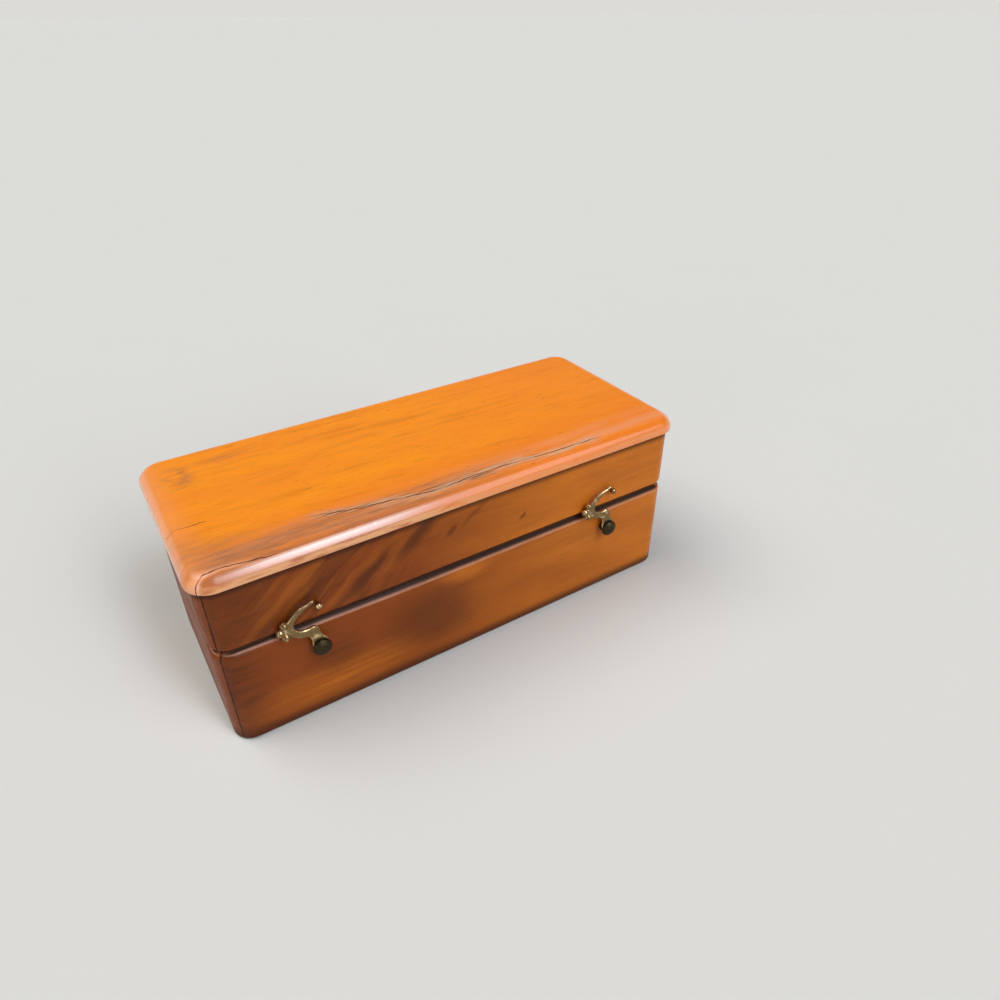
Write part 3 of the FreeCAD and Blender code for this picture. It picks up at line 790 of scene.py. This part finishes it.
class CASE_OT_make_latches(bpy.types.Operator):
    """Casts the hooks with their beaded thumb pieces and turns their knobs, washers and catch pins"""

    bl_idname = "case.make_latches"
    bl_label = "Hook latches"

    def hook_form(self, brass, turn):
        """The swan-neck plate with filed round edges, and the beads of its thumb piece."""
        data = bpy.data.curves.new("hook_outline", "CURVE")
        data.dimensions = "2D"
        data.fill_mode = "BOTH"
        data.resolution_u = 6
        data.bevel_depth = brass.hook_rounding
        data.bevel_resolution = 3
        data.offset = -brass.hook_rounding
        data.extrude = HOOK_THICKNESS / 2 * MM - brass.hook_rounding
        spline = data.splines.new("BEZIER")
        spline.bezier_points.add(len(HOOK_OUTLINE) - 1)
        for point, (u, v) in zip(spline.bezier_points, HOOK_OUTLINE):
            point.co = (u * HOOK_REACH * MM, v * HOOK_REACH * MM, 0.0)
            point.handle_left_type = point.handle_right_type = "AUTO"
        spline.use_cyclic_u = True
        outline = bpy.data.objects.new("hook_outline", data)
        mesh = bpy.data.meshes.new_from_object(outline)
        form = bmesh.new()
        form.from_mesh(mesh)
        bmesh.ops.remove_doubles(form, verts=form.verts, dist=SAME_POINT * MM)
        bpy.data.objects.remove(outline)
        bpy.data.curves.remove(data)
        bpy.data.meshes.remove(mesh)
        for (u, v), flatness in (*((bead, 0.95) for bead in HOOK_BEADS), (HOOK_WEB, 0.5)):
            middle = Matrix.Translation((u * HOOK_REACH * MM, v * HOOK_REACH * MM, 0.0))
            bmesh.ops.create_uvsphere(form, u_segments=20, v_segments=12, radius=brass.bead_radius,
                                      matrix=middle @ Matrix.Diagonal((1, 1, flatness, 1)))
        bmesh.ops.transform(form, verts=form.verts, matrix=turn)
        bmesh.ops.recalc_face_normals(form, faces=form.faces)
        return form

    def execute(self, context):
        looks = context.scene.case_looks
        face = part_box("hook_left")[0].y / MM
        # The hook's edges are pale: worked brass, and a painted highlight
        cast = brass_material(looks, "aged_cast_brass", tarnish_share=0.10, roughness=0.30, bright_share=0.22,
                              filed_and_highlit=(face + 0.10, face + 0.45))
        aged = brass_material(
            looks, "aged_turned_brass", tarnish_share=0.10, roughness=0.30, bright_share=0.30)
        dark = brass_material(
            looks, "tarnished_turned_brass", tarnish_share=0.55, roughness=0.46, bright_share=0.0)
        for side in PAIR:
            pivot = Vector(JOINTS[f"hook_{side}_swing"]["pos_m"])
            turn = (Matrix.Translation(pivot) @ Matrix.Rotation(HOOK_REST_TURN, 4, (0.0, -1.0, 0.0))
                    @ Matrix.Rotation(math.radians(90.0), 4, "X"))
            piece_from(self.hook_form(looks.brass, turn), f"cast_hook_{side}", f"hook_{side}",
                       cast, (f"hook_{side}",), crease=50.0)
            foot = Vector((pivot.x, FRONT_FACE * MM, pivot.z))
            low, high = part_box(f"catch_pin_{side}")
            catch = Vector(((low.x + high.x) / 2, FRONT_FACE * MM, (low.z + high.z) / 2))
            for section, place, name, body, slot, finish, node in (
                    (KNOB_SECTION, foot, "knob", "base", "dark_brass", dark, "hook_pivot"),
                    (WASHER_SECTION, foot, "washer", "base", "dark_brass", dark, "hook_washer"),
                    (CATCH_SECTION, catch, "catch", "lid", "hook_brass", aged, "catch_pin")):
                smoothed(piece_from(turned(section, place), f"turned_{name}_{side}", body, finish,
                                    (f"{node}_{side}",)))
        return {"FINISHED"}


def pushed(form, faces, height):
    """Extrudes faces of a form so many millimetres up or down, and gives back their corners."""
    made = bmesh.ops.extrude_face_region(form, geom=faces)["geom"]
    corners = [item for item in made if isinstance(item, bmesh.types.BMVert)]
    bmesh.ops.translate(form, verts=corners, vec=(0.0, 0.0, height * MM))
    return corners


class CASE_OT_make_hinges(bpy.types.Operator):
    """Eases the leaves' and knuckles' edges and sets the slotted screws"""

    bl_idname = "case.make_hinges"
    bl_label = "Butt hinges"

    def screw_form(self, place, facing, slot_turn):
        """A flat slotted screw head, a little proud of its leaf; facing is 1 upwards and -1 downwards."""
        form = bmesh.new()
        bmesh.ops.create_circle(form, cap_ends=True, radius=SCREW_RADIUS * MM, segments=28)
        crown = pushed(form, form.faces[:], SCREW_HEIGHT)
        rim = [e for e in form.edges if all(v in crown for v in e.verts)]
        rounded(form, rim, SCREW_EASING * MM, 2)
        for side in (-SLOT_WIDTH / 2, SLOT_WIDTH / 2):
            bmesh.ops.bisect_plane(
                form, geom=form.verts[:] + form.edges[:] + form.faces[:], dist=SAME_POINT * MM,
                plane_co=(0.0, side * MM, 0.0), plane_no=(0.0, 1.0, 0.0))
        sliver = 0.4 * MM * MM
        strip = [f for f in form.faces if f.normal.z > 0.9 and f.calc_area() > sliver
                 and abs(f.calc_center_median().y) < SLOT_WIDTH * 0.4 * MM]
        pushed(form, strip, -SLOT_DEPTH)
        bmesh.ops.transform(form, verts=form.verts, matrix=Matrix.Translation(place)
                            @ Matrix.Diagonal((1.0, 1.0, facing, 1.0)) @ Matrix.Rotation(slot_turn, 4, "Z"))
        bmesh.ops.recalc_face_normals(form, faces=form.faces)
        return form

    def execute(self, context):
        looks = context.scene.case_looks
        drawn = brass_material(
            looks, "aged_drawn_brass", tarnish_share=0.22, roughness=0.34, bright_share=0.12)
        for side in PAIR:
            for part, level, facing in (("base", BASE_RIM, 1.0), ("lid", LID_RIM, -1.0)):
                node = f"hinge_{part}_leaf_{side}"
                form = merged_copy(node)
                sharp = [e for e in form.edges if e.is_manifold and e.is_convex
                         and math.degrees(e.calc_face_angle()) > 60.0]
                rounded(form, sharp, LEAF_EASING * MM, 2)
                piece_from(form, f"drawn_{node}", part, drawn, (node,))
                low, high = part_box(node)
                middle = (low.x + high.x) / 2
                for number, shift in enumerate((-SCREW_SHIFT, SCREW_SHIFT)):
                    place = (middle + shift * MM, SCREW_LINE * MM, level * MM)
                    turn = math.radians(20.0 + 55.0 * number + (35.0 if part == "lid" else 0.0))
                    piece_from(self.screw_form(place, facing, turn), f"screw_{part}_{side}_{number + 1}",
                               part, drawn)
            form = merged_copy(f"hinge_pin_{side}")
            rim = [e for e in form.edges if e.is_manifold and math.degrees(e.calc_face_angle()) > 60.0]
            rounded(form, rim, PIN_EASING * MM, 3)
            piece_from(form, f"drawn_hinge_pin_{side}", body_of(f"hinge_pin_{side}"), drawn,
                       (f"hinge_pin_{side}",))
        return {"FINISHED"}


def soft_light(name, place, strength, spread, colour):
    """An even, soft light from far away in the direction of a place, as wide as the spread in degrees."""
    data = bpy.data.lights.new(name, "SUN")
    data.energy = strength
    data.angle = math.radians(spread)
    data.color = colour
    lamp = bpy.data.objects.new(name, data)
    lamp.rotation_euler = Vector(place).to_track_quat("Z", "Y").to_euler()
    bpy.context.scene.collection.objects.link(lamp)


class CASE_OT_set_stage(bpy.types.Operator):
    """Lays the pale floor and sets the lights, the room's glow and the camera"""

    bl_idname = "case.set_stage"
    bl_label = "Stage"

    def execute(self, context):
        scene = context.scene
        settings = scene.case_looks.stage
        scene.view_settings.view_transform = "Standard"

        form = bmesh.new()
        bmesh.ops.create_grid(form, x_segments=1, y_segments=1, size=FLOOR_REACH)
        mesh = bpy.data.meshes.new("floor")
        form.to_mesh(mesh)
        form.free()
        floor = bpy.data.objects.new("floor", mesh)
        scene.collection.objects.link(floor)
        # Board rolled with flat paint, which has no shine and the faintest mottle
        material, tree, surface = new_material("painted_board", Roughness=1.0, Specular_IOR_Level=0.0)
        mottle = streaks(tree, add(tree, "TexCoord", output=3), (0.11, 0.11, 0.11), 0.3, 0.7, 0.04, 3.0)
        colour = stained(tree, settings.floor, ((mottle, linear("C4C2BE")),))
        tree.links.new(colour, surface.inputs["Base Color"])
        mesh.materials.append(material)

        # Each light's name, the way to it, its strength, its spread in degrees and its colour
        cool, warm = (0.87, 0.93, 1.0), (1.0, 0.98, 0.95)
        lights = [
            (f"window_{rise}", (0.22, -math.cos(math.radians(rise)), math.sin(math.radians(rise))),
             settings.window_strength * share, 16.0, cool)
            for rise, share in ((20, 0.72), (36, 1.15), (52, 1.45), (68, 0.68))]
        lights += [
            ("window_glow", (0.30, -0.72, 0.62), settings.window_strength * 2.0, 46.0, cool),
            ("near_lamp", (-0.87, -0.44, 0.22), settings.ceiling_strength * 0.16, 24.0, warm),
            ("ceiling", (-0.42, 0.28, 0.86), settings.ceiling_strength, 46.0, warm)]
        for name, place, strength, spread, colour in lights:
            soft_light(name, place, strength, spread, colour)

        # The room is as bright as the lit floor at the horizon, so that no line shows where they meet
        floor_share = 0.985
        horizon = settings.room_strength
        for _, place, strength, _, _ in lights:
            horizon += floor_share * strength * Vector(place).normalized().z / math.pi
        world = bpy.data.worlds.new("soft_room")
        world.use_nodes = True
        room = world.node_tree
        room.nodes.clear()
        rise = add(room, "SeparateXYZ", {0: add(room, "TexCoord")}, output=2)
        level = add(
            room, "MapRange", {0: rise, 1: 0.12, 2: 0.5, 3: horizon, 4: settings.room_strength}, **SOFT)
        walls = add(room, "Background", {"Color": (*settings.floor, 1.0), "Strength": level})
        add(room, "OutputWorld", {"Surface": walls})
        scene.world = world

        data = bpy.data.cameras.new("camera")
        data.sensor_width = 36.0
        data.lens = settings.lens
        data.clip_start = 0.01
        camera = bpy.data.objects.new("camera", data)
        turn = (Matrix.Rotation(CAMERA_HEADING, 4, "Z") @ Matrix.Rotation(CAMERA_TILT, 4, "X")
                @ Matrix.Rotation(CAMERA_ROLL, 4, "Z"))
        camera.matrix_world = Matrix.Translation(CAMERA_PLACE) @ turn
        scene.collection.objects.link(camera)
        scene.camera = camera
        return {"FINISHED"}


OPERATORS = (
    CASE_OT_set_stage, CASE_OT_make_top, CASE_OT_make_sides, CASE_OT_finish_inside, CASE_OT_make_latches,
    CASE_OT_make_hinges)


class CASE_PT_panel(bpy.types.Panel):
    """Lists the case's pieces and their settings"""

    bl_idname = "CASE_PT_panel"
    bl_label = "Polished Instrument Case"
    bl_space_type = "VIEW_3D"
    bl_region_type = "UI"
    bl_category = "Case"

    def draw(self, context):
        looks = context.scene.case_looks
        for operator in OPERATORS:
            self.layout.operator(operator.bl_idname)
        for group in (looks.top, looks.boards, looks.brass, looks.stage):
            box = self.layout.box()
            for name in group.bl_rna.properties.keys():
                if name not in ("rna_type", "name"):
                    box.prop(group, name)


CLASSES = (
    CaseTopSettings, CaseBoardSettings, CaseBrassSettings, CaseStageSettings, CaseLooks,
    *OPERATORS, CASE_PT_panel)


def register():
    """Adds the settings, operators and panel."""
    for each in CLASSES:
        bpy.utils.register_class(each)
    bpy.types.Scene.case_looks = PointerProperty(type=CaseLooks)


def unregister():
    """Takes them away again."""
    del bpy.types.Scene.case_looks
    for each in reversed(CLASSES):
        bpy.utils.unregister_class(each)


def main():
    """Registers the add-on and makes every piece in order."""
    register()
    for operator in OPERATORS:
        group, name = operator.bl_idname.split(".")
        getattr(getattr(bpy.ops, group), name)()


if __name__ == "__main__":
    main()
